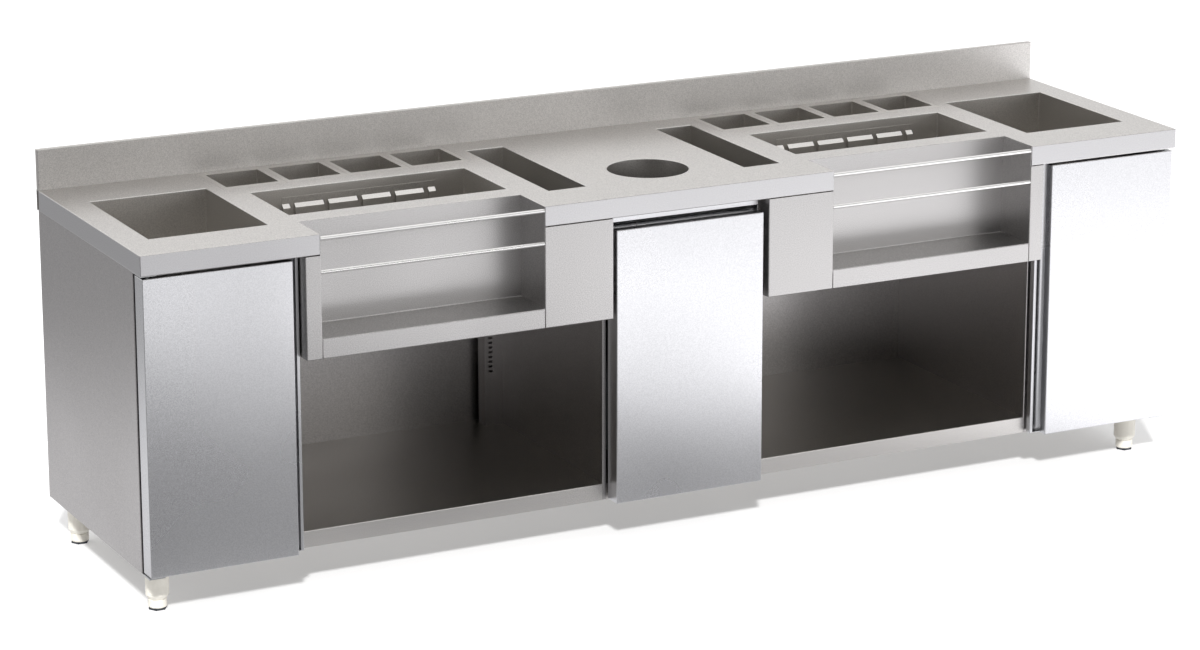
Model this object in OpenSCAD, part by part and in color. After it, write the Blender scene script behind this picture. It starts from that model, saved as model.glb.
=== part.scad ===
// Cocktail station of folded stainless sheet: one long worktop with upstand, two mirrored working stations
// (ice well, pans, bottle well and speed rail), a sink at each end and a pull-out waste bin in the middle.
// X runs along the front, Y from the front to the wall, Z up from the floor.

/* [Overall] */
// Width over the worktop
station_w = 2800; // [2740:10:3000]
// Depth from the front edge of the worktop to the back of the upstand
station_d = 700; // [700:5:760]
// Height of the worktop above the floor
worktop_h = 875; // [865:5:900]
// Height of the upstand above the worktop
upstand_h = 100; // [60:5:150]
// Thickness of the folded upstand
upstand_t = 15; // [13:1:20]
// Height of the folded front edge of the worktop
fascia_h = 50; // [46:1:52]
// Width of each sink cabinet with the door's grip, from the worktop's end to the cheek of the speed rail
sink_bay_w = 398.5; // [396:0.5:410]

/* [Sheet] */
// Sheet thickness of the worktop
top_t = 1.5; // [1.2:0.1:2]
// Sheet thickness of the bowls and wells
bowl_t = 1.2; // [1:0.1:1.5]
// Sheet thickness of the panels, doors and trays
panel_t = 1; // [0.8:0.1:1.2]
// Width of the folded edges of the upright panels
fold_w = 10; // [8:0.5:12]
// Outer radius of every fold
fold_r = 2.4; // [1.8:0.1:2.6]

/* [Cabinet] */
// Distance of the cabinet body behind the worktop's front edge
body_set_back = 60; // [58:1:70]
// Height of the cabinet's underside above the floor
base_h = 105; // [100:5:130]
// Height of the folded floor trays
floor_h = 41; // [35:1:45]
// Distance of the side panels inside the worktop's ends
side_inset = 3; // [3:0.5:5]

/* [Sinks] */
// Width of the sink opening
sink_w = 292; // [260:1:296]
// Depth of the sink bowl
sink_h = 250; // [200:5:260]
// Distance of the sink from the worktop's end
sink_end = 72; // [66:1:80]
// Distance of the sink from the worktop's front edge
sink_front = 135; // [125:1:145]
// Distance of the sink from the back
sink_back = 173; // [150:1:200]
// Outer radius of the sink waste's threaded tail
sink_tail_r = 23.9; // [20:0.1:24]

/* [Ice wells] */
// How much narrower the ice well is than the speed rail's opening, at each end
ice_side = 5; // [4:0.5:20]
// Distance between the ice well and the pan row
ice_pan_gap = 57; // [52:1:70]
// Depth of the ice well
ice_h = 240; // [200:5:245]
// Distance of the ice well from the worktop's front edge
ice_front = 198; // [192:1:204]
// Thickness of the insulation round the ice well
ice_insulation = 20; // [15:1:20]
// Outer radius of the ice drain's threaded tail
ice_tail_r = 16.6; // [13:0.1:17]
// Distance from one divider slot to the next, rounded to fit the guide
divider_pitch = 87.5; // [60:0.5:110]

/* [Pans] */
// Number of pans in each row
pan_count = 4; // [3:1:4]
// How far the pan row reaches past the speed rail's opening, at each end
pan_row_side = 39.4; // [36:0.1:40]
// Length of the pan row's cut-out from front to back
pan_row_l = 176; // [170:1:178]
// Distance of the pan row from the back
pan_back = 27; // [24:1:32]
// Width of a pan's rim on the left and the right
pan_rim_w = 13.8; // [12:0.1:18]
// Width of a pan's rim in front and behind
pan_rim_l = 19.5; // [16:0.5:24]
// Depth of a pan
pan_h = 100; // [65:5:150]

/* [Bottle wells] */
// Width of the narrow bottle well
bottle_w = 100; // [90:1:105]
// Distance of the bottle well from the back
bottle_back = 99.5; // [94:0.5:120]
// Depth of the bottle well
bottle_h = 200; // [150:5:220]
// Distance of the bottle well from the worktop's front edge
bottle_front = 134.5; // [130:0.5:140]

/* [Speed rails] */
// Depth of the speed rail from front to back
rail_d = 132; // [120:1:134]
// Distance of the rail's floor below the worktop
rail_floor = 250; // [220:5:260]
// Height of the apron below the rail's floor
rail_apron = 48; // [40:1:60]
// Diameter of the two retaining rods
rod_d = 10; // [8:0.5:12]
// Distance of the upper rod's middle below the worktop
rod_upper = 12; // [11:1:16]
// Distance of the lower rod's middle below the worktop
rod_lower = 92; // [80:1:110]

/* [Waste] */
// Radius of the round waste hole
waste_r = 100; // [80:1:105]
// Distance of the waste hole's middle from the worktop's front edge
waste_front = 231.5; // [225:0.5:240]
// Length of the chute under the waste hole
chute_l = 140; // [100:5:150]
// Radius of the waste bin below its rim
bin_r = 160; // [140:1:162]
// Height of the waste bin below its rim
bin_h = 500; // [400:10:505]
// Travel of the waste drawer
drawer_travel = 400; // [350:10:400]

/* [Fronts] */
// Width of the waste drawer's front
drawer_w = 400; // [390:1:402]
// Gap beside the waste drawer's front
drawer_gap = 11.5; // [11:0.5:14]
// Width of the wide apron between the waste drawer and the speed rail
apron_w = 181; // [176:1:186]
// Width of the narrow cheek beside the speed rail
cheek_w = 39; // [34:1:42]
// Thickness of the doors and the drawer front
door_t = 47; // [44:1:48]
// Distance of the door faces behind the worktop's front edge
door_set_back = 5; // [4:0.5:6]
// Gap between the fascia and the doors
door_top_gap = 7; // [6:0.5:9]
// Height of the doors' lower edge above the cabinet's underside
door_bottom_gap = 4; // [3.5:0.5:6]
// Distance of the doors' outer edge inside the worktop's end
door_end = 5.5; // [5:0.5:7]
// Width of the grip recess and its flange beside the door face
grip_w = 26; // [24:1:30]
// Radius of the half-round grip trough
grip_r = 15; // [13:0.5:15]
// Depth of the folded lip that the fingers pull on
grip_lip = 23; // [18:1:24]

/* [Feet] */
// Radius of the foot sleeve at its top
sleeve_r = 28.5; // [25:0.5:30]
// Length of the foot sleeve below the cabinet
sleeve_l = 78; // [70:1:80]
// Radius of the adjustable foot's shaft
foot_shaft_r = 16; // [13:0.5:17]
// Distance of the feet from the worktop's ends
foot_end = 55; // [50:1:70]
// Distance of the front feet from the worktop's front edge
foot_front = 105; // [100:1:120]
// Distance of the back feet from the back
foot_back = 63; // [55:1:80]

/* [Hidden] */

// Overrun of every cut, facets of every round, and the clearances
cut = 2;
round_fn = 48;
small_fn = 24;
running = 0.05;
lying = 0.3;
seam = 1.4;

// Planes that the pieces share
front_y = -station_d / 2;
back_y = station_d / 2;
end_x = station_w / 2;
top_z = worktop_h;
under_z = top_z - top_t;
base_z = base_h;
floor_z = base_z + floor_h;
fascia_z = top_z - fascia_h;
body_y = front_y + body_set_back;
wall_y = back_y - upstand_t;

// Edges along the front, from the middle outwards
drawer_x = drawer_w / 2;
apron_x = drawer_x + drawer_gap;
cheek_x = end_x - sink_bay_w;
rail_x = [apron_x + apron_w, cheek_x - cheek_w];
station_x = (rail_x[0] + rail_x[1]) / 2;
cheek_overlap = 3;
bay_x = [apron_x, cheek_x - cheek_overlap];
side_x = end_x - side_inset;
centre_x = apron_x - fold_w;
outer_cabinet_x = [bay_x[1] + fold_w, side_x - fold_w];

// Speed rail levels
rail_y = front_y + rail_d;
rail_z = top_z - rail_floor;
apron_z = rail_z - rail_apron;
return_w = 14;
apron_lap = 20;

// Sinks, wells and their openings in the worktop
sink_x = [end_x - sink_end - sink_w, end_x - sink_end];
sink_y = [front_y + sink_front, back_y - sink_back];
sink_z = top_z - sink_h;
ice_x = [rail_x[0] + ice_side, rail_x[1] - ice_side];
ice_y = [front_y + ice_front, back_y - pan_back - pan_row_l - ice_pan_gap];
ice_z = top_z - ice_h;
bottle_gap = 4.5;
bottle_x = [apron_x + bottle_gap, apron_x + bottle_gap + bottle_w];
bottle_y = [front_y + bottle_front, back_y - bottle_back];
bottle_z = top_z - bottle_h;
waste_y = front_y + waste_front;
pan_row_x = [rail_x[0] - pan_row_side, rail_x[1] + pan_row_side];
pan_row_y = [back_y - pan_back - pan_row_l, back_y - pan_back];
pan_pitch = (pan_row_x[1] - pan_row_x[0]) / pan_count;

// Pans, ledge and rims
rim_t = 1.2;
pan_wall = 0.8;
pan_gap = 0.6;
pan_rim_r = 1.2;
ledge_t = 2;
ledge_w = 12;
ledge_bar_w = 14;

chute_flange = 12;

// Drains: flange in the bowl, tail through the hole, nut below
drain_flange = 14;
drain_flange_t = 1.5;
drain_wall = 4;
drain_tail_l = 60;
drain_nut = 6;
drain_nut_h = 9;

// Ice well fittings
jacket_top_gap = 20;
guide_t = 10;
guide_plate_t = 1;
guide_plate_top = 22;
guide_pad_top = 37;
guide_slot = 13.3;
guide_h = 120;
guide_end = 25;
guide_share = 5 / 7;
guide_w = guide_share * (ice_x[1] - ice_x[0]);
divider_count = 1 + round((guide_w - 2 * guide_end) / divider_pitch);
grid_t = 1.5;
grid_leg_h = 22;
grid_leg_t = 2;
grid_side_gap = 2;
grid_guide_gap = 1;
grid_slot_w = 34;
grid_slot_h = 8;
grid_slot_pitch = 54;
grid_row_pitch = 34;
grid_edge = 20;

// Doors: shell, grip channel, liner and pivots
door_y = [front_y + door_set_back, front_y + door_set_back + door_t];
door_z = [base_z + door_bottom_gap, fascia_z - door_top_gap];
grip_gap = 2.5;
grip_x = cheek_x + grip_gap;
skin_x = [grip_x + grip_w, end_x - door_end];
grip_depth = door_t - panel_t - grip_r;
door_flange = 8;
drawer_flange = 13;
skin_top_z = door_z[1] - grip_w;
liner_h = 10;
pivot_in = 20;
pivot_back = 21;
pivot_x = skin_x[1] - pivot_in;
pivot_y = door_y[0] + pivot_back;
pin_r = 4;
pin_l = 20;
bush_r = 7;
bush_rim = 2;
bush_rim_t = 0.8;
bush_l = 20;
bracket_t = 3;
bracket_w = 16;

// Waste drawer and its runners
runner_l = 500;
runner_h = 45;
runner_t = 1.5;
runner_gap = 0.4;
runner_depth = 10.5;
runner_drop = 208;
slide_reach = 3;
carrier_t = 2;
carrier_drop = 190;
carrier_l = 378;
carrier_skirt = 60;
bin_wall = 3;
bin_rim_w = 12;
bin_rim_h = 8;
bin_foot_share = 0.84;

// Shelf upright in the back corner of the left bay
upright_w = 50;
upright_d = 40;
upright_t = 1.2;
upright_back_gap = 25;
slot_w = 11;
slot_h = 6;
slot_pitch = 12.5;
slot_edge = 29;
slot_first = 140;

// Feet
sleeve_taper = 1;
sleeve_chamfer_w = 5.5;
sleeve_chamfer_h = 9;
foot_pad_h = 5;
foot_pad_r = 22;
foot_waist_r = 22;
foot_neck_r = 20;
foot_chamfer = 2.5;
foot_shaft_l = 50;

// A block between pairs of planes
module slab(x, y, z) {
    translate([x[0], y[0], z[0]]) cube([x[1] - x[0], y[1] - y[0], z[1] - z[0]]);
}

module left() {
    mirror([1, 0, 0]) children();
}

module both() {
    children();
    left() children();
}

// A pair of planes moved outwards by a distance
function wider(pair, by) = [pair[0] - by, pair[1] + by];

// Rectangle between pairs of planes, with rounded corners
module soft_square(a, b) {
    translate([a[0] + fold_r, b[0]]) square([a[1] - a[0] - 2 * fold_r, b[1] - b[0]]);
    translate([a[0], b[0] + fold_r]) square([a[1] - a[0], b[1] - b[0] - 2 * fold_r]);
    for (u = wider(a, -fold_r), v = wider(b, -fold_r)) translate([u, v]) circle(r = fold_r, $fn = small_fn);
}

// Planes moved out by two fold radii where a side has no rounded edges
function kept(pair, sharp) = [pair[0] - 2 * fold_r * sharp[0], pair[1] + 2 * fold_r * sharp[1]];

// Block with rounded edges; the edges of a side that is marked 1 in sharp stay square
module soft_slab(x, y, z, sharp) {
    a = kept(x, sharp[0]);
    b = kept(y, sharp[1]);
    c = kept(z, sharp[2]);
    intersection() {
        slab(x, y, z);
        translate([0, 0, c[0]]) linear_extrude(c[1] - c[0]) soft_square(a, b);
        translate([a[0], 0, 0]) rotate([90, 0, 90]) linear_extrude(a[1] - a[0]) soft_square(b, c);
        translate([0, b[1], 0]) rotate([90, 0, 0]) linear_extrude(b[1] - b[0]) soft_square(a, c);
    }
}

// Outline of a cut between two planes whose upper rim rolls outwards, from the height low to high
module flared(a, low, high, r) {
    translate([a[0], low]) square([a[1] - a[0], high - low + cut]);
    difference() {
        translate([a[0] - r, high - r]) square([a[1] - a[0] + 2 * r, r + cut]);
        for (u = wider(a, r)) translate([u, high - r]) circle(r = r, $fn = small_fn);
    }
}

// Rectangular opening with a rolled rim, cut down from the worktop's surface
module rolled_opening(x, y, depth, r) {
    low = top_z - depth;
    intersection() {
        translate([0, y[1] + r, 0]) rotate([90, 0, 0])
            linear_extrude(y[1] - y[0] + 2 * r) flared(x, low, top_z, r);
        translate([x[0] - r, 0, 0]) rotate([90, 0, 90])
            linear_extrude(x[1] - x[0] + 2 * r) flared(y, low, top_z, r);
    }
}

// Open-topped bowl of sheet t round the space between the planes
module bowl(x, y, z, t) {
    open_top = [[0, 0], [0, 0], [0, 1]];
    difference() {
        soft_slab(wider(x, t), wider(y, t), [z - t, under_z], open_top);
        soft_slab(x, y, [z, top_z + cut], open_top);
    }
}

// Upright panel with folded edges: its flat side is at the high or the low X plane
module upright_panel(x, y, z, flat_high) {
    open_x = flat_high ? [x[0] - cut, x[1] - panel_t] : [x[0] + panel_t, x[1] + cut];
    open_side = flat_high ? [1, 0] : [0, 1];
    difference() {
        soft_slab(x, y, z, [open_side, [0, 1], [0, 1]]);
        slab(open_x, wider(y, -panel_t), wider(z, -panel_t));
    }
}

// Floor tray with its edges folded down
module floor_tray(x) {
    y = [body_y, wall_y];
    difference() {
        soft_slab(x, y, [base_z, floor_z], [[1, 1], [0, 1], [1, 0]]);
        slab(wider(x, -panel_t), wider(y, -panel_t), [base_z - cut, floor_z - panel_t]);
    }
}

// Everything that is cut through the worktop on the right
module worktop_openings() {
    through = [fascia_z - cut, top_z + cut];
    rolled_opening(rail_x, [front_y - 2 * fold_r, rail_y], fascia_h + cut, fold_r);
    translate([0, 0, through[0]]) linear_extrude(through[1] - through[0])
        mirror([0, 1]) flared(rail_x, -rail_y, -front_y, fold_r);
    slab(wider(rail_x, bowl_t), [front_y + top_t, rail_y], [through[0], under_z]);
    rolled_opening(sink_x, sink_y, top_t + cut, fold_r);
    rolled_opening(ice_x, ice_y, top_t + cut, fold_r);
    rolled_opening(bottle_x, bottle_y, top_t + cut, fold_r);
    slab(wider(pan_row_x, lying), wider(pan_row_y, lying), through);
}

// Worktop: flat sheet with a folded fascia in front and at both ends, and a lip under the front
module worktop() {
    inner_x = [-end_x + top_t, end_x - top_t];
    color("#c9c6c3") difference() {
        soft_slab([-end_x, end_x], [front_y, wall_y], [fascia_z, top_z], [[0, 0], [0, 1], [0, 0]]);
        slab(inner_x, [front_y + top_t, wall_y + cut], [fascia_z + top_t, under_z]);
        slab(inner_x, [front_y + return_w, wall_y + cut], [fascia_z - cut, under_z]);
        both() worktop_openings();
        translate([0, waste_y, top_z]) rotate_extrude($fn = round_fn) rolled_hole();
    }
}

// Half outline of the round waste hole with its rolled rim
module rolled_hole() {
    translate([0, -top_t - cut]) square([waste_r, top_t + 2 * cut]);
    difference() {
        translate([waste_r - cut, -fold_r]) square([fold_r + cut, fold_r + cut]);
        translate([waste_r + fold_r, -fold_r]) circle(r = fold_r, $fn = small_fn);
    }
}

// Upstand: folded channel with closed ends, welded to the back edge of the worktop
module upstand() {
    inner_x = [-end_x + top_t, end_x - top_t];
    high_z = top_z + upstand_h;
    color("#c9c6c3") {
        difference() {
            soft_slab([-end_x, end_x], [wall_y, back_y], [under_z, high_z], [[0, 0], [0, 0], [1, 0]]);
            slab(inner_x, [wall_y + top_t, back_y - top_t], [under_z - cut, high_z - top_t]);
        }
        slab([-end_x, end_x], [back_y - top_t, back_y], [fascia_z, under_z + fold_r]);
    }
}

module right_sink_bowl() {
    color("#b5b2ae") difference() {
        bowl(sink_x, sink_y, sink_z, bowl_t);
        drain_hole(sink_x, sink_y, sink_z, sink_tail_r);
    }
}

module left_sink_bowl() {
    left() right_sink_bowl();
}

// Middle of a pair of planes
function middle(pair) = (pair[0] + pair[1]) / 2;

module drain_hole(x, y, z, tail_r) {
    translate([middle(x), middle(y), z - bowl_t - ice_insulation - cut])
        cylinder(h = bowl_t + ice_insulation + 2 * cut, r = tail_r + lying, $fn = round_fn);
}

// Drain: flange seated in the bowl, threaded tail and clamping nut
module drain(x, y, z, tail_r, skin) {
    bore = tail_r - drain_wall;
    translate([middle(x), middle(y), z]) rotate_extrude($fn = round_fn) polygon([
        [bore, drain_flange_t],
        [bore, -skin - drain_tail_l],
        [tail_r, -skin - drain_tail_l],
        [tail_r, -skin - drain_nut_h],
        [tail_r + drain_nut, -skin - drain_nut_h],
        [tail_r + drain_nut, -skin],
        [tail_r, -skin],
        [tail_r, 0],
        [tail_r + drain_flange, 0],
        [tail_r + drain_flange, drain_flange_t]
    ]);
}

module drain_fittings() {
    color("#d8d8d6") both() {
        drain(sink_x, sink_y, sink_z, sink_tail_r, bowl_t);
        drain(ice_x, ice_y, ice_z, ice_tail_r, bowl_t + ice_insulation);
    }
}

module right_ice_well() {
    color("#aaa7a3") difference() {
        bowl(ice_x, ice_y, ice_z, bowl_t);
        drain_hole(ice_x, ice_y, ice_z, ice_tail_r);
    }
}

module left_ice_well() {
    left() right_ice_well();
}

// Foam jacket: fills the space between the well and its outer skin
module ice_jacket() {
    outer = bowl_t + ice_insulation;
    difference() {
        slab(wider(ice_x, outer), wider(ice_y, outer), [ice_z - outer, top_z - jacket_top_gap]);
        slab(wider(ice_x, bowl_t), wider(ice_y, bowl_t), [ice_z - bowl_t, top_z + cut]);
        drain_hole(ice_x, ice_y, ice_z, ice_tail_r);
    }
}

module ice_well_jackets() {
    color("#9a9a98") both() ice_jacket();
}

// Guide on one long wall of the ice well: pads with a sloping top, and slots for the divider plates
module divider_guide() {
    difference() {
        translate([-guide_w / 2, 0, 0]) rotate([90, 0, 90]) linear_extrude(guide_w) polygon([
            [0, -guide_pad_top],
            [-guide_t, -guide_pad_top - guide_t],
            [-guide_t, -guide_pad_top - guide_h],
            [0, -guide_pad_top - guide_h]
        ]);
        for (i = [0 : divider_count - 1])
            translate([(i / (divider_count - 1) - 1 / 2) * (guide_w - 2 * guide_end), 0, 0])
                slab([-guide_slot / 2, guide_slot / 2], [-guide_t - cut, -guide_plate_t],
                     [-guide_pad_top - guide_h - cut, -guide_plate_top]);
    }
    slab([-guide_w / 2, guide_w / 2], [-guide_plate_t, 0], [-guide_pad_top - guide_h, -guide_plate_top]);
}

module divider_guides() {
    color("#dedcd8") both() {
        translate([station_x, ice_y[1], top_z]) divider_guide();
        translate([station_x, ice_y[0], top_z]) mirror([0, 1, 0]) divider_guide();
    }
}

// Lift-out slotted false bottom that keeps the ice clear of its melt water
module ice_grid() {
    x = wider(ice_x, -grid_side_gap);
    y = wider(ice_y, -guide_t - grid_guide_gap);
    z = ice_z + lying;
    columns = floor((x[1] - x[0]) / grid_slot_pitch);
    rows = floor((y[1] - y[0] - 2 * grid_edge) / grid_row_pitch);
    difference() {
        slab(x, y, [z, z + grid_leg_h]);
        slab(wider(x, -grid_leg_t), wider(y, cut), [z - cut, z + grid_leg_h - grid_t]);
        for (i = [0 : columns - 1], j = [0 : rows - 1])
            translate([middle(x) + (i - (columns - 1) / 2) * grid_slot_pitch,
                       middle(y) + (j - (rows - 1) / 2) * grid_row_pitch, z])
                slab([-grid_slot_w / 2, grid_slot_w / 2], [-grid_slot_h / 2, grid_slot_h / 2],
                     [0, grid_leg_h + cut]);
    }
}

module right_ice_grid() {
    color("#c4c2bf") ice_grid();
}

module left_ice_grid() {
    left() right_ice_grid();
}

module bottle_wells() {
    color("#a5a29e") both() bowl(bottle_x, bottle_y, bottle_z, bowl_t);
}

// Round chute that leads waste from the worktop down to the bin
module waste_chute() {
    color("#8d8984") translate([0, waste_y, under_z]) difference() {
        union() {
            translate([0, 0, -chute_l]) cylinder(h = chute_l, r = waste_r + bowl_t, $fn = round_fn);
            translate([0, 0, -bowl_t]) cylinder(h = bowl_t, r = waste_r + chute_flange, $fn = round_fn);
        }
        translate([0, 0, -chute_l - cut]) cylinder(h = chute_l + 2 * cut, r = waste_r, $fn = round_fn);
    }
}

// Frame under the pan row: it carries the rims, with a bar between each pair of pans
module pan_ledge() {
    hole_w = pan_pitch - ledge_bar_w;
    difference() {
        slab([pan_row_x[0] - ledge_w, bay_x[1]], wider(pan_row_y, ledge_w), [under_z - ledge_t, under_z]);
        for (i = [0 : pan_count - 1])
            translate([pan_row_x[0] + (i + 1 / 2) * pan_pitch, 0, 0])
                slab([-hole_w / 2, hole_w / 2], wider(pan_row_y, -ledge_bar_w / 2),
                     [under_z - ledge_t - cut, under_z + cut]);
    }
}

module pan_ledges() {
    color("#b0aeab") both() pan_ledge();
}

// One pan: flat rim, box with rounded corners, and a mouth that rolls down into it
module pan(index) {
    middle_x = pan_row_x[0] + (index + 1 / 2) * pan_pitch;
    rim_x = wider([middle_x, middle_x], (pan_pitch - pan_gap) / 2);
    x = wider(rim_x, -pan_rim_w + pan_gap / 2);
    y = wider(pan_row_y, -pan_rim_l);
    floor_level = top_z - pan_h;
    difference() {
        union() {
            slab(rim_x, pan_row_y, [top_z - rim_t, top_z]);
            soft_slab(wider(x, pan_wall), wider(y, pan_wall), [floor_level, top_z - rim_t / 2],
                      [[0, 0], [0, 0], [0, 1]]);
        }
        soft_slab(x, y, [floor_level + pan_wall, top_z + cut], [[0, 0], [0, 0], [0, 1]]);
        rolled_opening(x, y, rim_t, pan_rim_r);
    }
}

module right_pan(index) {
    color("#b9b6b2") pan(index);
}

// The left pans are numbered from left to right, as the right ones are
module left_pan(index) {
    left() right_pan(pan_count - 1 - index);
}

// Section of the inner radius of a fold, in the corner between -X and +Y
module inside_fold() {
    translate([-fold_r, 0]) difference() {
        square([fold_r, fold_r]);
        translate([0, fold_r]) circle(r = fold_r, $fn = small_fn);
    }
}

// Speed rail: trough with a back, two ends, a floor and an apron that hangs down in front
module right_speed_rail() {
    x = wider(rail_x, bowl_t);
    front_x = wider(rail_x, -seam);
    lip_y = [front_y, front_y + return_w];
    color("#b7b4b1") {
        slab(x, [rail_y, rail_y + bowl_t], [apron_z, under_z]);
        slab([x[0], rail_x[0]], [front_y + top_t, rail_y], [apron_z, under_z]);
        slab([rail_x[1], x[1]], [front_y + top_t, rail_y], [apron_z, under_z]);
        slab(x, [front_y + top_t, rail_y], [rail_z - bowl_t, rail_z]);
        translate([x[0], rail_y, rail_z]) rotate([90, 0, 90]) linear_extrude(x[1] - x[0]) inside_fold();
        for (side = [0, 1])
            translate([rail_x[side], rail_y, rail_z]) mirror([side, 0, 0]) mirror([1, 0, 0])
                linear_extrude(under_z - rail_z) inside_fold();
        difference() {
            soft_slab(front_x, lip_y, [apron_z, rail_z], [[1, 1], [0, 1], [0, 0]]);
            slab(wider(front_x, cut), [front_y + bowl_t, lip_y[1] + cut],
                 [apron_z + bowl_t, rail_z - bowl_t]);
        }
    }
}

module left_speed_rail() {
    left() right_speed_rail();
}

// Two round rods across the mouth of each speed rail
module bottle_rods() {
    rod_y = front_y + rod_d / 2 + lying;
    color("#e4e3e1") both()
        for (drop = [rod_upper, rod_lower])
            translate([rail_x[0], rod_y, top_z - drop]) rotate([0, 90, 0])
                cylinder(h = rail_x[1] - rail_x[0], r = rod_d / 2, $fn = small_fn);
}

// Strip of sheet between the speed rail and its neighbour: front face, lower return and one side face
module rail_strip(x, y, return_x, hollow_x) {
    z = [apron_z, fascia_z - seam];
    difference() {
        soft_slab(x, y, z, [[0, 0], [0, 1], [0, 1]]);
        slab(hollow_x, [front_y + top_t, y[1] + cut], [apron_z + panel_t, z[1] + cut]);
        slab(hollow_x, [front_y + return_w, y[1] + cut], [apron_z - cut, z[1] + cut]);
        slab(return_x, [front_y + top_t, y[1] + cut], [apron_z - cut, z[1] + cut]);
    }
}

// Narrow cheek at the outer end of the speed rail, folded back to the bay's partition
module rail_cheeks() {
    x = [rail_x[1], cheek_x];
    color("#c3c3c5") both()
        rail_strip(x, [front_y, body_y], [x[0] - cut, x[0] + bowl_t], [x[0] - cut, x[1] - panel_t]);
}

// Wide aprons between the speed rails and the waste drawer, folded back along the drawer
module rail_aprons() {
    x = [apron_x, rail_x[0]];
    y = [front_y, body_y + apron_lap];
    color("#c6c6c8") both() rail_strip(x, y, [x[1] - bowl_t, x[1] + cut], [x[0] + panel_t, x[1] + cut]);
}

module right_side_panel() {
    color("#9d9ca3")
        upright_panel([side_x - fold_w, side_x], [body_y, back_y - top_t], [base_z, under_z], true);
}

module left_side_panel() {
    left() right_side_panel();
}

module right_bay_partition() {
    color("#7d7975") upright_panel([bay_x[1], bay_x[1] + fold_w], [body_y, wall_y], [base_z, under_z], false);
}

module left_bay_partition() {
    left() right_bay_partition();
}

// Partition beside the waste drawer, with a welded rail that takes the runner's screws
module right_centre_partition() {
    runner_z = top_z - runner_drop;
    color("#7d7975") {
        upright_panel([centre_x, apron_x], [body_y, wall_y], [base_z, under_z], true);
        slab([centre_x, apron_x - panel_t / 2], [body_y + panel_t / 2, body_y + runner_l],
             [runner_z - runner_h, runner_z]);
    }
}

module left_centre_partition() {
    left() right_centre_partition();
}

// Back: one flat sheet with its edges folded towards the wall
module back_panel() {
    x = [-outer_cabinet_x[1], outer_cabinet_x[1]];
    y = [wall_y, wall_y + fold_w];
    z = [base_z, under_z];
    color("#74706c") difference() {
        slab(x, y, z);
        slab(wider(x, -panel_t), [y[0] + panel_t, y[1] + cut], wider(z, -panel_t));
    }
}

module cabinet_floors() {
    color("#6f6b67") {
        both() floor_tray(outer_cabinet_x);
        floor_tray([-centre_x, centre_x]);
    }
}

module bay_floors() {
    color("#6f6b67") both() floor_tray(bay_x);
}

// Slotted shelf upright in the back corner of the left bay
module shelf_upright() {
    x = [-bay_x[0] - upright_w, -bay_x[0]];
    y = [wall_y - upright_back_gap - upright_d, wall_y - upright_back_gap];
    z = [floor_z, under_z];
    slot_count = floor((z[1] - z[0] - slot_first) / slot_pitch);
    color("#8f8b87") difference() {
        slab(x, y, z);
        slab(wider(x, -upright_t), [y[0] + upright_t, y[1] + cut], wider(z, cut));
        for (i = [0 : slot_count - 1])
            slab([-bay_x[0] - slot_edge - slot_w, -bay_x[0] - slot_edge],
                 [y[0] - cut, y[0] + upright_t + cut],
                 [floor_z + slot_first + i * slot_pitch, floor_z + slot_first + i * slot_pitch + slot_h]);
    }
}

// Channel runner screwed to each centre partition
module runner_channel() {
    x = [centre_x - runner_depth, centre_x];
    y = [body_y, body_y + runner_l];
    z = [top_z - runner_drop - runner_h, top_z - runner_drop];
    difference() {
        slab(x, y, z);
        slab([x[0] - cut, x[1] - runner_t], wider(y, cut), wider(z, -runner_t));
    }
}

module runner_channels() {
    color("#c8c8c8") both() runner_channel();
}

// Inner bar of each runner: it carries the drawer and runs in the channel
module runner_slide() {
    x = [centre_x - runner_depth - slide_reach, centre_x - runner_t - runner_gap];
    y = [body_y, body_y + runner_l];
    z = wider([top_z - runner_drop - runner_h, top_z - runner_drop], -runner_t - runner_gap);
    difference() {
        slab(x, y, z);
        slab([x[0] + runner_t, x[1] + cut], wider(y, cut), wider(z, -runner_t));
    }
}

module runner_slides() {
    color("#d5d5d5") both() runner_slide();
}

// Pivot plates at the top and the bottom of a door, each with its pin
module hinge_bracket_pair() {
    x = [pivot_x - bracket_w, side_x];
    y = [pivot_y - bracket_w, body_y];
    plates = [[fascia_z - bracket_t, fascia_z], [base_z, base_z + bracket_t]];
    for (z = plates) slab(x, y, z);
    translate([pivot_x, pivot_y, door_z[1] - pin_l])
        cylinder(h = fascia_z - bracket_t / 2 - door_z[1] + pin_l, r = pin_r, $fn = small_fn);
    translate([pivot_x, pivot_y, base_z + bracket_t / 2])
        cylinder(h = door_z[0] + pin_l - base_z - bracket_t / 2, r = pin_r, $fn = small_fn);
}

module hinge_brackets() {
    color("#a0a0a0") both() hinge_bracket_pair();
}

// Folded shell of a hinged door: full returns outside, above and below, a short lip at the grip
module right_door_skin() {
    inside = [skin_x[0] + panel_t, skin_x[1] - panel_t];
    color("#d6d6d9") difference() {
        soft_slab(skin_x, door_y, door_z, [[0, 0], [0, 1], [0, 0]]);
        slab(inside, [door_y[0] + panel_t, door_y[1] + cut], wider(door_z, -panel_t));
        slab([skin_x[0] - cut, skin_x[0] + grip_reach(door_flange) + seam / 2],
             [door_y[0] + grip_lip, door_y[1] + cut], wider(door_z, cut));
        for (z = door_z) translate([pivot_x, pivot_y, z - cut])
            cylinder(h = 2 * cut, r = bush_r + running, $fn = small_fn);
    }
}

module left_door_skin() {
    left() right_door_skin();
}

// How far the grip channel reaches behind the face of its door, for the width of its flange
function grip_reach(flange) = 2 * grip_r + flange - grip_w + panel_t;

// Where the middle of the trough lies, from the edge of the door's face
function trough_x(flange) = grip_w - flange - grip_r;

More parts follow.
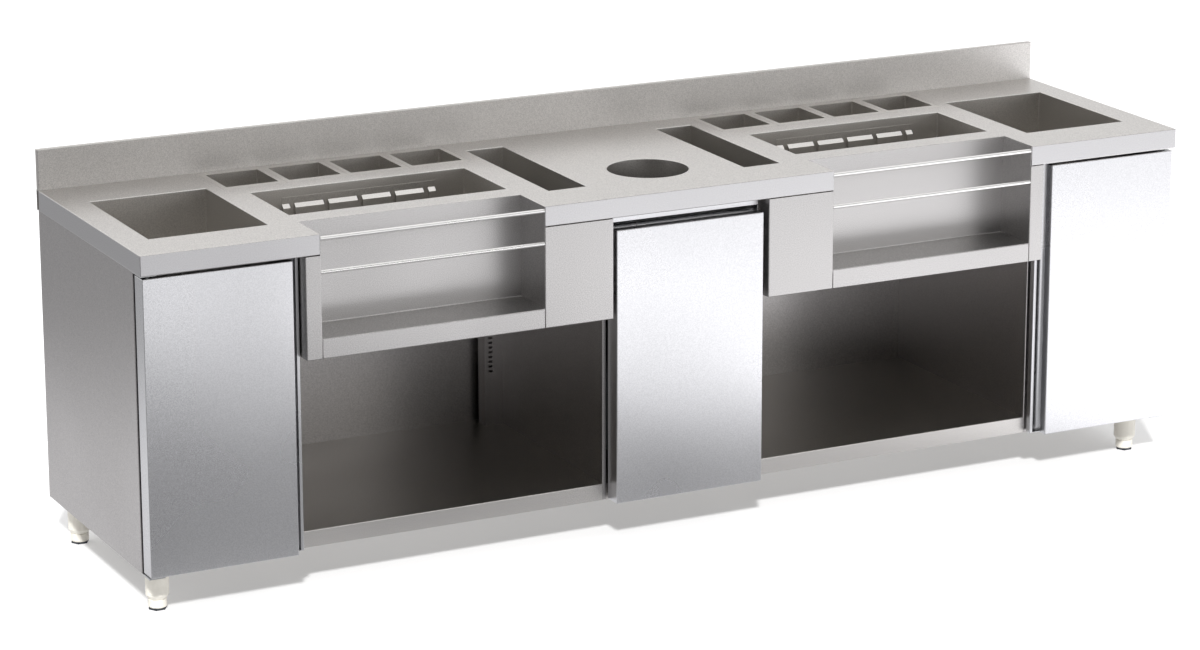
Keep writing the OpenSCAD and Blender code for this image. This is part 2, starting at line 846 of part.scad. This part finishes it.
// Section of the grip channel: X runs out from the edge of the door's face, Y back from that face
module grip_section(flange) {
    middle_x = trough_x(flange);
    back_y = door_t + 2 * fold_r;
    difference() {
        translate([middle_x, grip_depth]) circle(r = grip_r + panel_t, $fn = round_fn);
        translate([middle_x, grip_depth]) circle(r = grip_r, $fn = round_fn);
        translate([middle_x - grip_w, grip_depth - grip_w]) square([2 * grip_w, grip_w]);
    }
    difference() {
        soft_square([middle_x + grip_r - fold_r, grip_w], [grip_depth, back_y]);
        translate([middle_x, grip_depth + panel_t]) square([grip_w - middle_x - panel_t, back_y]);
        translate([middle_x, grip_depth - cut]) square([grip_r, back_y]);
        translate([middle_x, door_t]) square([2 * grip_w, back_y]);
    }
    translate([-grip_reach(flange), panel_t]) square([panel_t, door_t - panel_t]);
}

module grip_channel(length, flange) {
    reach = grip_reach(flange);
    linear_extrude(length) grip_section(flange);
    for (z = [0, length - panel_t]) translate([0, 0, z]) linear_extrude(panel_t)
        translate([-reach, grip_depth]) square([grip_w + reach - fold_r, door_t - grip_depth]);
}

// One strip of a door's grip, between two planes; the two strips meet along the trough's deepest line
module grip_strip(span) {
    length = door_z[1] - door_z[0];
    corner = [-cut, grip_reach(door_flange) + cut];
    color("#b9b8b8") translate([skin_x[0], door_y[0], door_z[0]]) difference() {
        mirror([1, 0, 0]) intersection() {
            grip_channel(length, door_flange);
            slab(span, [-cut, door_t + cut], [-cut, length + cut]);
        }
        for (z = [[-cut, panel_t], [length - panel_t, length + cut]]) slab(corner, [-cut, grip_lip], z);
    }
}

// Outer strip: flange and outer half of the trough
module right_door_grip() {
    grip_strip([trough_x(door_flange), grip_w + cut]);
}

// Inner strip: inner half of the trough, and the leg that stands behind the door's face
module right_grip_hook() {
    grip_strip([-grip_reach(door_flange) - cut, trough_x(door_flange)]);
}

module left_door_grip() {
    left() right_door_grip();
}

module left_grip_hook() {
    left() right_grip_hook();
}

// Inner panel of a door: a shallow tray set into the shell from behind
module right_door_liner() {
    x = [skin_x[0] + grip_reach(door_flange) + lying, skin_x[1] - panel_t];
    y = [door_y[1] - liner_h, door_y[1]];
    z = wider(door_z, -panel_t);
    color("#a9a8a8") difference() {
        slab(x, y, z);
        slab(wider(x, -panel_t), [y[0] - cut, y[1] - panel_t], wider(z, -panel_t));
    }
}

module left_door_liner() {
    left() right_door_liner();
}

// Flanged plastic bushes that turn on the pivot pins
module pivot_bush() {
    rotate_extrude($fn = small_fn) polygon([
        [pin_r + running, -bush_l],
        [bush_r, -bush_l],
        [bush_r, 0],
        [bush_r + bush_rim, 0],
        [bush_r + bush_rim, bush_rim_t],
        [pin_r + running, bush_rim_t]
    ]);
}

module right_door_bushes() {
    color("#2f2f2f") {
        translate([pivot_x, pivot_y, door_z[1]]) pivot_bush();
        translate([pivot_x, pivot_y, door_z[0]]) mirror([0, 0, 1]) pivot_bush();
    }
}

module left_door_bushes() {
    left() right_door_bushes();
}

// Folded shell of the drawer front: the grip runs along its top edge
module drawer_skin() {
    x = [-drawer_x, drawer_x];
    z = [door_z[0], skin_top_z];
    color("#e2e2e4") difference() {
        soft_slab(x, door_y, z, [[0, 0], [0, 1], [0, 0]]);
        slab(wider(x, -panel_t), [door_y[0] + panel_t, door_y[1] + cut], wider(z, -panel_t));
        slab(wider(x, cut), [door_y[0] + grip_lip, door_y[1] + cut],
             [skin_top_z - grip_reach(drawer_flange) - seam / 2, skin_top_z + cut]);
    }
}

module drawer_grip() {
    color("#b9b8b8") difference() {
        translate([drawer_x, door_y[0], skin_top_z]) rotate([0, -90, 0])
            grip_channel(drawer_w, drawer_flange);
        both() slab([drawer_x - panel_t, drawer_x + cut], [door_y[0] - cut, door_y[0] + grip_lip],
                    [skin_top_z - grip_reach(drawer_flange) - cut, skin_top_z]);
    }
}

module drawer_liner() {
    x = [-drawer_x + panel_t, drawer_x - panel_t];
    y = [door_y[1] - liner_h, door_y[1]];
    z = [door_z[0] + panel_t, skin_top_z - grip_reach(drawer_flange) - lying];
    color("#a9a8a8") difference() {
        slab(x, y, z);
        slab(wider(x, -panel_t), [y[0] - cut, y[1] - panel_t], wider(z, -panel_t));
    }
}

// Shelf of the waste drawer: the bin hangs in its round hole, and its skirts are screwed to the slides
module bin_carrier() {
    half_w = centre_x - runner_depth - slide_reach;
    z = top_z - carrier_drop;
    y = [door_y[1], door_y[1] + carrier_l];
    color("#b3b1ae") difference() {
        slab([-half_w, half_w], y, [z - carrier_skirt, z]);
        slab([-half_w + carrier_t, half_w - carrier_t], [y[0] + carrier_t, y[1] + cut],
             [z - carrier_skirt - cut, z - carrier_t]);
        translate([0, waste_y, z - carrier_t - cut])
            cylinder(h = carrier_t + 2 * cut, r = bin_r + lying, $fn = round_fn);
    }
}

module waste_bin() {
    foot_r = bin_r * bin_foot_share;
    color("#4a4c4e") translate([0, waste_y, top_z - carrier_drop]) rotate_extrude($fn = round_fn) polygon([
        [0, -bin_h],
        [foot_r, -bin_h],
        [bin_r, 0],
        [bin_r + bin_rim_w, 0],
        [bin_r + bin_rim_w, bin_rim_h],
        [bin_r - bin_wall, bin_rim_h],
        [foot_r - bin_wall, bin_wall - bin_h],
        [0, bin_wall - bin_h]
    ]);
}

// Where the four feet stand
module at_foot(x_side, y) {
    translate([x_side * (end_x - foot_end), y, 0]) children();
}

front_foot_y = front_y + foot_front;
back_foot_y = back_y - foot_back;

// Tapered sleeve fixed under the floor tray, with a bore for the foot's shaft
module foot_sleeve() {
    low_z = base_z - sleeve_l;
    low_r = sleeve_r - sleeve_taper;
    rotate_extrude($fn = round_fn) polygon([
        [foot_shaft_r, low_z],
        [low_r - sleeve_chamfer_w, low_z],
        [low_r, low_z + sleeve_chamfer_h],
        [sleeve_r, base_z],
        [sleeve_r, floor_z - panel_t],
        [foot_shaft_r, floor_z - panel_t]
    ]);
}

module foot_sleeves() {
    color("#d3d0c8") for (side = [-1, 1], y = [front_foot_y, back_foot_y]) at_foot(side, y) foot_sleeve();
}

// Adjustable foot: shaft in the sleeve, waisted body and six-sided base
module foot() {
    shoulder_z = base_z - sleeve_l - lying;
    rotate_extrude($fn = round_fn) polygon([
        [0, foot_pad_h],
        [foot_neck_r, foot_pad_h],
        [foot_waist_r, foot_pad_h + foot_chamfer],
        [foot_waist_r, shoulder_z - foot_chamfer],
        [foot_waist_r - foot_chamfer, shoulder_z],
        [foot_shaft_r - running, shoulder_z],
        [foot_shaft_r - running, shoulder_z + foot_shaft_l],
        [0, shoulder_z + foot_shaft_l]
    ]);
    cylinder(h = foot_pad_h, r = foot_pad_r, $fn = 6);
}

module front_left_foot() {
    color("#c9c6be") at_foot(-1, front_foot_y) foot();
}

module front_right_foot() {
    color("#c9c6be") at_foot(1, front_foot_y) foot();
}

module back_left_foot() {
    color("#c9c6be") at_foot(-1, back_foot_y) foot();
}

module back_right_foot() {
    color("#c9c6be") at_foot(1, back_foot_y) foot();
}

worktop();
upstand();
left_sink_bowl();
right_sink_bowl();
drain_fittings();
left_ice_well();
right_ice_well();
ice_well_jackets();
divider_guides();
bottle_wells();
waste_chute();
pan_ledges();
left_speed_rail();
right_speed_rail();
bottle_rods();
rail_cheeks();
rail_aprons();
left_side_panel();
right_side_panel();
left_bay_partition();
right_bay_partition();
left_centre_partition();
right_centre_partition();
back_panel();
cabinet_floors();
bay_floors();
shelf_upright();
runner_channels();
hinge_brackets();
foot_sleeves();
left_door_skin();
left_door_grip();
left_grip_hook();
left_door_liner();
left_door_bushes();
right_door_skin();
right_door_grip();
right_grip_hook();
right_door_liner();
right_door_bushes();
drawer_skin();
drawer_grip();
drawer_liner();
bin_carrier();
runner_slides();
waste_bin();
left_ice_grid();
right_ice_grid();
left_pan(0);  // left_pan_1
left_pan(1);  // left_pan_2
left_pan(2);  // left_pan_3
left_pan(3);  // left_pan_4
right_pan(0);  // right_pan_1
right_pan(1);  // right_pan_2
right_pan(2);  // right_pan_3
right_pan(3);  // right_pan_4
front_left_foot();
front_right_foot();
back_left_foot();
back_right_foot();
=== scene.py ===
import math
import bpy
from mathutils import Matrix, Vector

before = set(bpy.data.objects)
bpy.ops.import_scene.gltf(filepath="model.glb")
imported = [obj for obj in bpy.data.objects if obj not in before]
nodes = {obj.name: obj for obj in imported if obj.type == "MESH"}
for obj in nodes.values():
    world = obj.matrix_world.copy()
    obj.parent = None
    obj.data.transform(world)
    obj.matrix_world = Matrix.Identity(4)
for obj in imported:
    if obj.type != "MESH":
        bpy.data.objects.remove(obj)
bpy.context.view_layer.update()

scene = bpy.context.scene
scene.view_settings.view_transform = "Standard"


# Camera. It stands in front of the station's left end, well above the worktop, and looks along the front with
# a long lens, as the photograph does.
def camera_axes(yaw, pitch, roll):
    level = math.cos(pitch)
    forward = Vector((math.sin(yaw) * level, math.cos(yaw) * level, math.sin(pitch)))
    right = Vector((math.cos(yaw), -math.sin(yaw), 0))
    up = right.cross(forward)
    turned_right = right * math.cos(roll) + up * math.sin(roll)
    turned_up = up * math.cos(roll) - right * math.sin(roll)
    return turned_right, turned_up, -forward


camera_data = bpy.data.cameras.new("camera")
camera_data.sensor_width = 36
camera_data.lens = 118.617
camera_data.shift_x = -0.0517
camera_data.shift_y = -0.0481
camera_data.clip_end = 100
camera = bpy.data.objects.new("camera", camera_data)
aimed = camera_axes(math.radians(27.73), math.radians(-14.95), math.radians(0.17))
camera.matrix_world = Matrix(aimed).transposed().to_4x4()
camera.location = (-4.3398, -8.4511, 3.133)
scene.collection.objects.link(camera)
scene.camera = camera


# Floor, of pale studio board. The camera sees it white where nothing shades it, and the station's shadow stays
# on it.
def linear(hex_colour):
    channels = [int(hex_colour[i:i + 2], 16) / 255 for i in (1, 3, 5)]
    return [c / 12.92 if c <= 0.04045 else ((c + 0.055) / 1.055) ** 2.4 for c in channels] + [1]


def add(tree, kind, links=(), **settings):
    """Add a shader node. in_ settings go to its sockets by name or number, and the others to the node itself."""
    made = tree.nodes.new(kind)
    for name, value in settings.items():
        if name.startswith("in_"):
            key = name[3:]
            made.inputs[int(key) if key.isdigit() else key.replace("_", " ")].default_value = value
        else:
            setattr(made, name, value)
    for source, socket in links:
        tree.links.new(source, made.inputs[socket])
    return made


def ramp_between(tree, source, low, high, out_low=0, out_high=1):
    """Smooth step of a value between two places."""
    step = add(tree, "ShaderNodeMapRange", [(source, 0)], interpolation_type="SMOOTHSTEP",
               in_1=low, in_2=high, in_3=out_low, in_4=out_high)
    return step.outputs[0]


def new_material(name):
    material = bpy.data.materials.new(name)
    material.use_nodes = True
    material.node_tree.nodes.clear()
    return material, material.node_tree


FLOOR_REACH = 30

floor_mesh = bpy.data.meshes.new("studio_floor")
floor_mesh.from_pydata([(-FLOOR_REACH, -FLOOR_REACH, 0), (FLOOR_REACH, -FLOOR_REACH, 0),
                        (FLOOR_REACH, FLOOR_REACH, 0), (-FLOOR_REACH, FLOOR_REACH, 0)], [], [(0, 1, 2, 3)])
studio_floor = bpy.data.objects.new("studio_floor", floor_mesh)
scene.collection.objects.link(studio_floor)
studio_board, tree = new_material("matt_white_board")
path = add(tree, "ShaderNodeLightPath")
seen = add(tree, "ShaderNodeMath", [(path.outputs["Is Camera Ray"], 0), (path.outputs["Is Transmission Ray"], 1)],
           operation="ADD", use_clamp=True)
matt = add(tree, "ShaderNodeBsdfDiffuse", in_Color=linear("#dcdcdc"))
glow = add(tree, "ShaderNodeEmission", [(seen.outputs[0], "Strength")], in_Color=linear("#8e8e8e"))
lit_board = add(tree, "ShaderNodeAddShader", [(matt.outputs[0], 0), (glow.outputs[0], 1)])
place = add(tree, "ShaderNodeTexCoord")
ground = add(tree, "ShaderNodeSeparateXYZ", [(place.outputs["Object"], 0)])
x, y = ground.outputs[0], ground.outputs[1]
# What glossy rays see of the floor, in place of the white that the camera sees. It is fitted to the brightness of
# the steel in the photograph, as if a dark cloth lay in front on the left and lit board on the right. Both dim
# with distance, and it is dimmer behind the left end.
across = add(tree, "ShaderNodeMath", [(x, 0), (y, 1)], operation="SUBTRACT")
cloth = ramp_between(tree, across.outputs[0], 1.3, 2.4, 0.34, 1.75)
near = ramp_between(tree, y, -0.7, -0.4, 0, 0.32)
far = ramp_between(tree, y, -3.8, -2.4, 0.52, 1)
front_floor = add(tree, "ShaderNodeMath", [(cloth, 0), (far, 1), (near, 2)], operation="MULTIPLY_ADD")
astern = add(tree, "ShaderNodeMath", [(y, 0), (x, 1)], operation="SUBTRACT")
back_floor = ramp_between(tree, astern.outputs[0], 2.6, 4.6, 0.86, 0.44)
behind = add(tree, "ShaderNodeMapRange", [(y, 0)], in_1=-0.3, in_2=0.1)
mirrored = add(tree, "ShaderNodeMix", [(behind.outputs[0], 0), (front_floor.outputs[0], 2), (back_floor, 3)])
cloth_glow = add(tree, "ShaderNodeEmission", [(mirrored.outputs[0], "Strength")], in_Color=linear("#fdfdff"))
board = add(tree, "ShaderNodeMixShader", [(path.outputs["Is Glossy Ray"], 0), (lit_board.outputs[0], 1),
                                          (cloth_glow.outputs[0], 2)])
add(tree, "ShaderNodeOutputMaterial", [(board.outputs[0], 0)])
studio_floor.data.materials.append(studio_board)


# Studio light. A tent all round with a bright wall in front on the right and a dark one in front on the left, its
# levels fitted to the brightness of the steel in the photograph. Only the camera sees the world as white. One
# small lamp high in front, hidden from glossy rays, puts the shadow under the cabinet.
tent = bpy.data.worlds.new("pale_tent")
scene.world = tent
tent.use_nodes = True
tree = tent.node_tree
tree.nodes.clear()
path = add(tree, "ShaderNodeLightPath")
aim = add(tree, "ShaderNodeTexCoord")
split = add(tree, "ShaderNodeSeparateXYZ", [(aim.outputs["Generated"], 0)])
bearing = add(tree, "ShaderNodeMath", [(split.outputs[0], 0), (split.outputs[1], 1)], operation="ARCTAN2")
turn = add(tree, "ShaderNodeMapRange", [(bearing.outputs[0], 0)],
           in_1=-math.pi, in_2=math.pi, in_3=0, in_4=1)


def tent_wall(levels):
    """Brightness round the horizon, from the front through left, back and right to the front again."""
    ramp = add(tree, "ShaderNodeValToRGB", [(turn.outputs[0], 0)])
    ramp.color_ramp.interpolation = "EASE"
    stops = ramp.color_ramp.elements
    while len(stops) < len(levels):
        stops.new(0.5)
    for stop, (position, level) in zip(stops, levels):
        stop.position = position
        stop.color = (level, level, level, 1)
    return ramp.outputs[0]


low_wall = tent_wall([(0, 0.55), (0.07, 0.02), (0.16, 0), (0.24, 0.3), (0.5, 0.34), (0.75, 0.4),
                      (0.86, 0.95), (1, 0.55)])
high_wall = tent_wall([(0, 0.07), (0.16, 0.01), (0.26, 0.4), (0.5, 0.55), (0.75, 0.45), (0.86, 0.14), (1, 0.07)])
rise = ramp_between(tree, split.outputs[2], 0.24, 0.36)
crown = ramp_between(tree, split.outputs[2], 0.6, 0.8)
walls = add(tree, "ShaderNodeMix", [(rise, 0)], data_type="RGBA")
tree.links.new(low_wall, walls.inputs[6])
tree.links.new(high_wall, walls.inputs[7])
roof = add(tree, "ShaderNodeMix", [(crown, 0)], data_type="RGBA")
tree.links.new(walls.outputs[2], roof.inputs[6])
roof.inputs[7].default_value = (0.52, 0.52, 0.52, 1)
tent_glow = add(tree, "ShaderNodeBackground", [(roof.outputs[2], "Color")], in_Strength=2)
white = add(tree, "ShaderNodeBackground", in_Color=(1, 1, 1, 1), in_Strength=1)
mix = add(tree, "ShaderNodeMixShader", [(path.outputs["Is Camera Ray"], 0), (tent_glow.outputs[0], 1),
                                        (white.outputs[0], 2)])
add(tree, "ShaderNodeOutputWorld", [(mix.outputs[0], 0)])

high_lamp_data = bpy.data.lights.new("high_front_lamp", "SUN")
high_lamp_data.energy = 3.4
high_lamp_data.angle = math.radians(5)
high_lamp = bpy.data.objects.new("high_front_lamp", high_lamp_data)
high_lamp.rotation_euler = Vector((0.5, 1.0, -1)).to_track_quat("-Z", "Y").to_euler()
high_lamp.visible_glossy = False
scene.collection.objects.link(high_lamp)


# Cabinet: side panels, partitions and back, folded from stainless sheet with a satin finish and welded to each
# other. The finish is drawn without a direction, and it scatters the light into a soft grey.
# The grain is drawn at 2 mm, coarser than the usual 0.1 mm, so that it still shows at the photograph's size.
GRAIN_MM = 2


def satin_stainless(name, tint, roughness, grain):
    """Satin stainless steel: fine grain, and slow patches that are a little more or less matt."""
    material, tree = new_material(name)
    place = add(tree, "ShaderNodeTexCoord")
    grit = add(tree, "ShaderNodeTexNoise", [(place.outputs["Object"], 0)], in_Scale=1000 / GRAIN_MM, in_Detail=1)
    patches = add(tree, "ShaderNodeTexNoise", [(place.outputs["Object"], 0)], in_Scale=4, in_Detail=0)
    rough = add(tree, "ShaderNodeMapRange", [(patches.outputs[0], 0)], in_1=0.3, in_2=0.7,
                in_3=roughness - 0.02, in_4=roughness + 0.03)
    dark = [c * (1 - grain) for c in linear(tint)[:3]] + [1]
    light = [min(1, c * (1 + grain)) for c in linear(tint)[:3]] + [1]
    shade = add(tree, "ShaderNodeMapRange", [(grit.outputs[0], 0)], in_1=0.3, in_2=0.7)
    colour = add(tree, "ShaderNodeMix", [(shade.outputs[0], 0)], data_type="RGBA", in_6=dark, in_7=light)
    relief = add(tree, "ShaderNodeBump", [(grit.outputs[0], "Height")], in_Strength=0.05, in_Distance=0.0003)
    steel = add(tree, "ShaderNodeBsdfPrincipled",
                [(colour.outputs[2], "Base Color"), (rough.outputs[0], "Roughness"),
                 (relief.outputs[0], "Normal")], in_Metallic=1)
    add(tree, "ShaderNodeOutputMaterial", [(steel.outputs[0], 0)])
    return material


def finish(names, material):
    for name in names:
        nodes[name].data.materials.clear()
        nodes[name].data.materials.append(material)


def finish_faces(name, material, chosen):
    """Give the chosen faces of a piece a second finish."""
    mesh = nodes[name].data
    mesh.materials.append(material)
    for face in mesh.polygons:
        if chosen(face):
            face.material_index = 1


cabinet_steel = satin_stainless("stainless_sheet_satin_cabinet", "#bdbab9", 0.30, 0.16)
for side in ("left", "right"):
    finish([f"{side}_side_panel", f"{side}_bay_partition", f"{side}_centre_partition"], cabinet_steel)
finish(["back_panel", "shelf_upright"], cabinet_steel)


# Worktop, folded from thick stainless sheet with a satin finish, its openings rolled down. Its upright faces, the
# folded edges and the walls of the openings, get a darker, cooler tint than its top: painted shade on the same
# sheet. The upstand has a tint of its own, picked to match the photograph. The ledges of the pans and the waste
# chute are welded under it, and the upstand is a folded channel welded to its back edge.
UPRIGHT = 0.5

worktop_steel = satin_stainless("stainless_sheet_satin_top", "#d8d5d2", 0.34, 0.2)
# Painted shade: the upright faces of the worktop get this darker, cooler tint than its top.
upright_shade_steel = satin_stainless("stainless_sheet_satin_painted_shade", "#cac9ca", 0.34, 0.12)
upstand_steel = satin_stainless("stainless_sheet_satin_upstand", "#d4d1ce", 0.48, 0.14)
finish(["worktop", "pan_ledges", "waste_chute"], worktop_steel)
finish_faces("worktop", upright_shade_steel, lambda face: abs(face.normal.z) < UPRIGHT)
finish(["upstand"], upstand_steel)


# Floor trays of the cabinets and the bays, folded from stainless sheet. Their front lips, the faces that look to
# the front, get the worktop's paler tint, picked to match their paler look in the photograph: painted light on
# the same sheet.
floor_steel = satin_stainless("stainless_sheet_satin_floor", "#c0bcb7", 0.36, 0.3)
for name in ("cabinet_floors", "bay_floors"):
    finish([name], floor_steel)
    # Painted light: the faces of the trays that look to the front get the worktop's paler tint.
    finish_faces(name, worktop_steel, lambda face: face.normal.y < -UPRIGHT)


# Sinks, ice wells with their lift-out grids, bottle wells and pans, pressed and welded from thinner stainless
# sheet. The wells hang in the worktop's openings and the pans lie on the ledges. Their walls reflect each other,
# so they turn dark towards the bottom.
well_steel = satin_stainless("stainless_sheet_pressed_bowl", "#e2dfdb", 0.32, 0.12)
for side in ("left", "right"):
    finish([f"{side}_sink_bowl", f"{side}_ice_well", f"{side}_ice_grid"], well_steel)
    finish([f"{side}_pan_{number}" for number in (1, 2, 3, 4)], well_steel)
finish(["bottle_wells", "divider_guides", "drain_fittings"], well_steel)


# Speed rails, cheeks and aprons, folded from stainless sheet and welded between the worktop and the cabinet.
# Their tint, a little darker than the worktop's, is picked to match the photograph.
rail_steel = satin_stainless("stainless_sheet_satin_rail", "#c0bebd", 0.34, 0.24)
finish(["left_speed_rail", "right_speed_rail", "rail_cheeks", "rail_aprons"], rail_steel)


# Bottle rods, of drawn round stainless bar, polished bright and welded into the end walls of the rails.
rod_steel = satin_stainless("stainless_bar_polished", "#f4f3f1", 0.28, 0.03)
finish(["bottle_rods"], rod_steel)


# Doors and drawer front, folded shells of stainless sheet, each with a recessed grip and a liner inside. Their
# tint and smoother sheen are picked to match the photograph. The doors turn on bushes of black polyamide, pressed
# into the shells.
front_steel = satin_stainless("stainless_sheet_fine_front", "#dbdbdd", 0.28, 0.09)
for side in ("left", "right"):
    finish([f"{side}_door_skin", f"{side}_door_grip", f"{side}_grip_hook", f"{side}_door_liner"], front_steel)
finish(["drawer_skin", "drawer_grip", "drawer_liner"], front_steel)


def moulded_plastic(name, tint, roughness, pebble_mm):
    """Moulded plastic, rubber or foam with a faint texture of pebbles of the given size."""
    material, tree = new_material(name)
    place = add(tree, "ShaderNodeTexCoord")
    pebble = add(tree, "ShaderNodeTexNoise", [(place.outputs["Object"], 0)],
                 in_Scale=1000 / pebble_mm, in_Detail=2)
    relief = add(tree, "ShaderNodeBump", [(pebble.outputs[0], "Height")], in_Strength=0.12, in_Distance=0.0003)
    rough = add(tree, "ShaderNodeMapRange", [(pebble.outputs[0], 0)], in_1=0.3, in_2=0.7,
                in_3=roughness - 0.05, in_4=roughness + 0.05)
    dark = [c * 0.94 for c in linear(tint)[:3]] + [1]
    colour = add(tree, "ShaderNodeMix", [(pebble.outputs[0], 0)], data_type="RGBA",
                 in_6=dark, in_7=linear(tint))
    body = add(tree, "ShaderNodeBsdfPrincipled",
               [(colour.outputs[2], "Base Color"), (rough.outputs[0], "Roughness"),
                (relief.outputs[0], "Normal")], in_IOR=1.53)
    add(tree, "ShaderNodeOutputMaterial", [(body.outputs[0], 0)])
    return material


bush_plastic = moulded_plastic("polyamide_moulded_black", "#1d1d1d", 0.4, 2)
finish(["left_door_bushes", "right_door_bushes"], bush_plastic)


# Runners of the waste drawer, hinge brackets of the doors and the carrier of the bin, bent from zinc-plated steel.
# The brackets and the outer runners are fixed to the cabinet, and the carrier to the drawer front.
plated_steel = satin_stainless("zinc_plated_steel", "#cfd0d0", 0.30, 0.06)
finish(["runner_channels", "runner_slides", "hinge_brackets", "bin_carrier"], plated_steel)


# Waste bin, moulded from charcoal polyethylene. It hangs by its rim in the carrier.
bin_plastic = moulded_plastic("polyethylene_moulded_charcoal", "#3c3e40", 0.5, 3)
finish(["waste_bin"], bin_plastic)


# Jackets of polyurethane foam, cast round the ice wells. The photograph doesn't show them, so their yellowish
# colour is a guess.
foam = moulded_plastic("polyurethane_foam_yellowed", "#d9d2bb", 0.85, 4)
finish(["ice_well_jackets"], foam)


# Feet, moulded from cream-grey polyamide. The sleeves are screwed under the cabinet and the feet are screwed into
# the sleeves. The six-sided pad under each foot is of black rubber, 5 mm thick.
PAD_HEIGHT = 0.005
PAD_MARGIN = 0.0001

foot_plastic = moulded_plastic("polyamide_moulded_cream_grey", "#f1ede3", 0.45, 2)
pad_rubber = moulded_plastic("rubber_moulded_black", "#2f3238", 0.7, 2)
finish(["foot_sleeves"], foot_plastic)
for name in ("front_left_foot", "front_right_foot", "back_left_foot", "back_right_foot"):
    finish([name], foot_plastic)
    pad_top = min(v.co.z for v in nodes[name].data.vertices) + PAD_HEIGHT + PAD_MARGIN
    finish_faces(name, pad_rubber, lambda face: face.center.z < pad_top)
